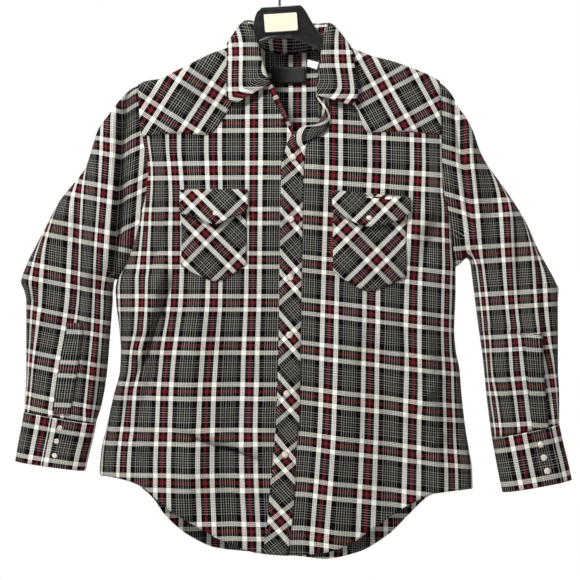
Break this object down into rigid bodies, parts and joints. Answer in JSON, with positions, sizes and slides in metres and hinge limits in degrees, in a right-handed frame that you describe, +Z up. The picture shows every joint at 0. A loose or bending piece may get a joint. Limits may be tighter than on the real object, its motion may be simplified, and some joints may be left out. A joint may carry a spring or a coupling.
{
  "type": "western snap shirt on a hanger",
  "caption": "Long-sleeved plaid western shirt with pointed yokes, flapped chest pockets, snap front and cuffs, curved tail hem, held on a moulded hanger with a wire hook.",
  "frame": {"origin": "inner top of the hanger's hook, where it rests on a rail", "axes": "+Z up, -Y out of the shirt's front, +X towards the wearer's left sleeve"},
  "size_m": [0.8419, 0.0974, 0.9118],
  "materials": {
    "plaid_cloth": "brushed cotton plaid",
    "snap_pearl": "pearly",
    "label_satin": "satin weave",
    "tab_cloth": "matt",
    "hanger_plastic": "glossy",
    "plate_plastic": "smooth",
    "hook_wire": "plated"
  },
  "bodies": {
    "root": {"front_right": "plaid_cloth", "front_left": "plaid_cloth", "front_band": "plaid_cloth", "yoke_front_right": "plaid_cloth", "yoke_front_left": "plaid_cloth", "yoke_back": "plaid_cloth", "back": "plaid_cloth", "sleeve_right": "plaid_cloth", "sleeve_left": "plaid_cloth", "cuff_right": "plaid_cloth", "cuff_left": "plaid_cloth", "sleeve_placket_right": "plaid_cloth", "sleeve_placket_left": "plaid_cloth", "pocket_right": "plaid_cloth", "pocket_left": "plaid_cloth", "pocket_flap_right": "plaid_cloth", "pocket_flap_left": "plaid_cloth", "collar_leaf": "plaid_cloth", "collar_stand": "plaid_cloth", "snap_front_1": "snap_pearl", "snap_front_2": "snap_pearl", "snap_front_3": "snap_pearl", "snap_front_4": "snap_pearl", "snap_front_5": "snap_pearl", "snap_front_6": "snap_pearl", "snap_flap_right": "snap_pearl", "snap_flap_left": "snap_pearl", "snap_cuff_right_1": "snap_pearl", "snap_cuff_right_2": "snap_pearl", "snap_cuff_right_3": "snap_pearl", "snap_cuff_left_1": "snap_pearl", "snap_cuff_left_2": "snap_pearl", "snap_cuff_left_3": "snap_pearl", "neck_label": "label_satin", "size_tab": "tab_cloth", "hanger_body": "hanger_plastic", "hanger_plate": "plate_plastic", "hanger_hook": "hook_wire"}
  },
  "joints": []
}
